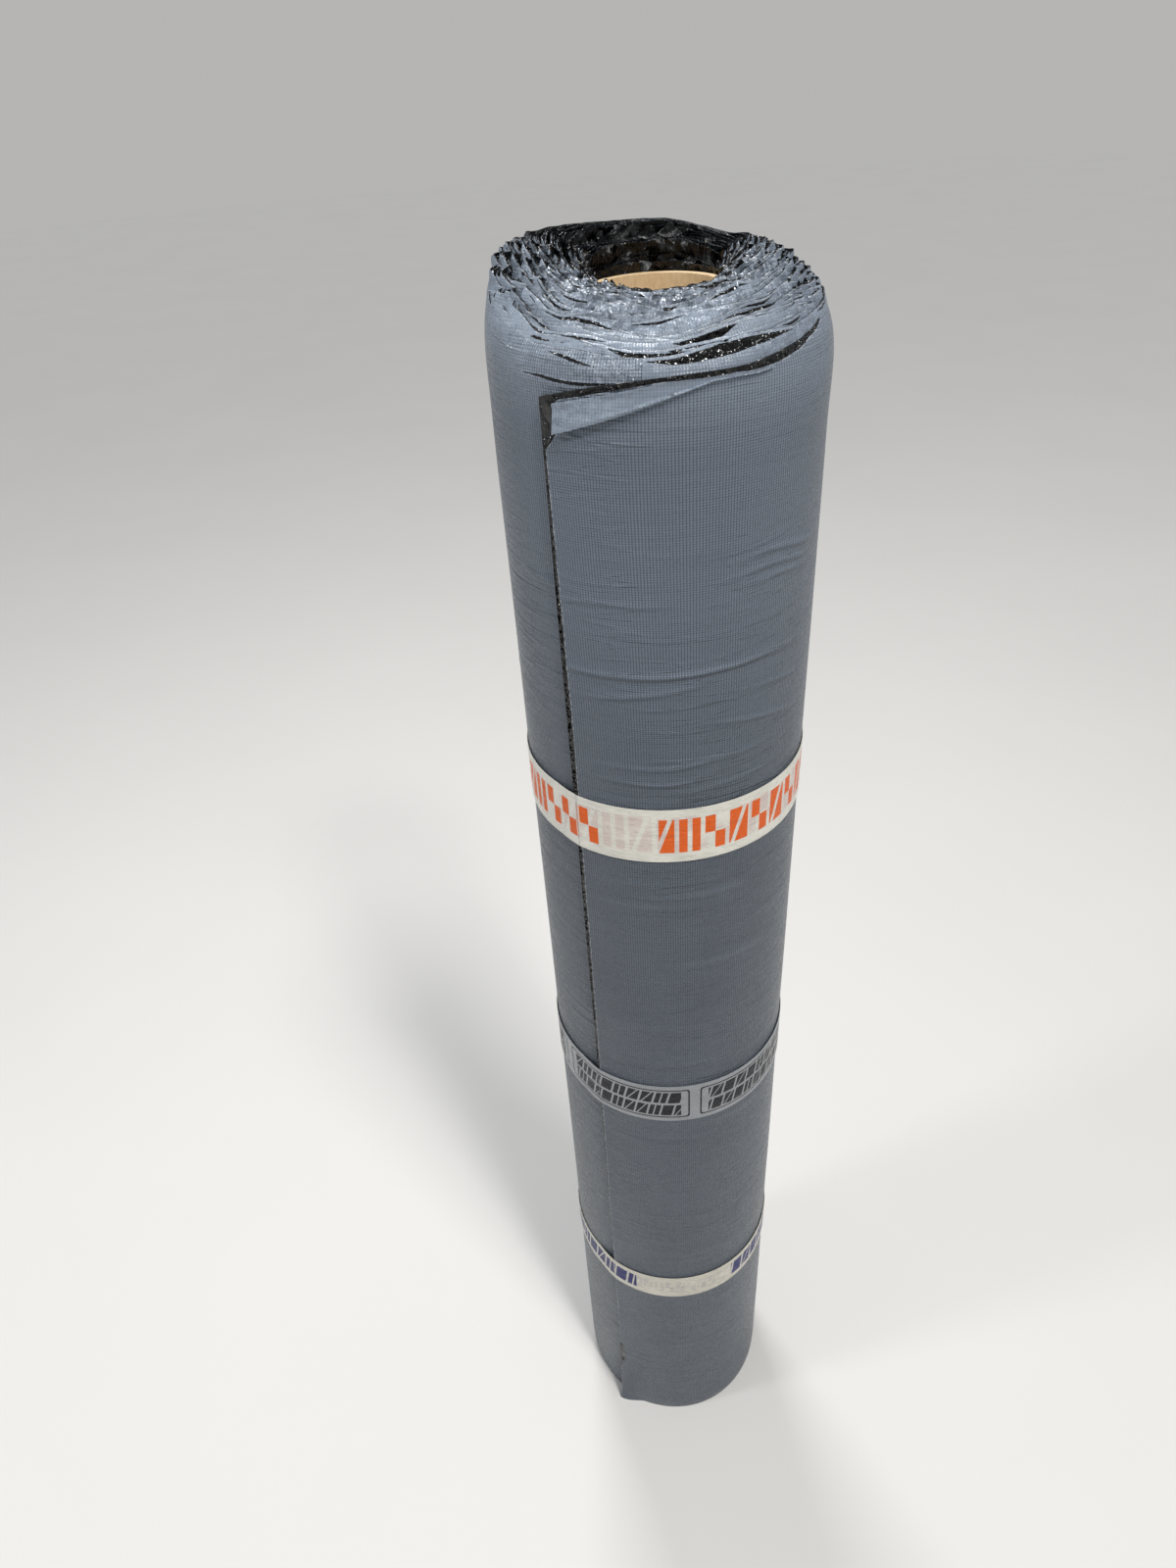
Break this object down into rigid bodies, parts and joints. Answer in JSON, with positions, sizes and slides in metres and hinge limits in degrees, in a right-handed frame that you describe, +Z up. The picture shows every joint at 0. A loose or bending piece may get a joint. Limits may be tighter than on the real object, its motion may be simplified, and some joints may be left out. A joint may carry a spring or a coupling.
{
  "type": "roofing felt roll",
  "caption": "Full roll of self-adhesive bitumen roofing felt wound on a cardboard core, standing on its end and held closed by bands of tape.",
  "frame": {"origin": "on the floor, on the axis of the roll", "axes": "+Z up along the roll's axis, -Y towards the side with the sheet's free edge, which is 35 degrees to the left of -Y"},
  "size_m": [0.1722, 0.1732, 1.042],
  "materials": {
    "film_faced_bitumen": "satin woven film",
    "core_card": "matt",
    "white_tape": "gloss, printed",
    "clear_tape": "gloss, printed",
    "narrow_white_tape": "gloss, printed"
  },
  "bodies": {
    "root": {"felt_roll": "film_faced_bitumen", "core_tube": "core_card", "wide_tape": "white_tape", "clear_tape": "clear_tape", "narrow_tape": "narrow_white_tape"}
  },
  "joints": []
}
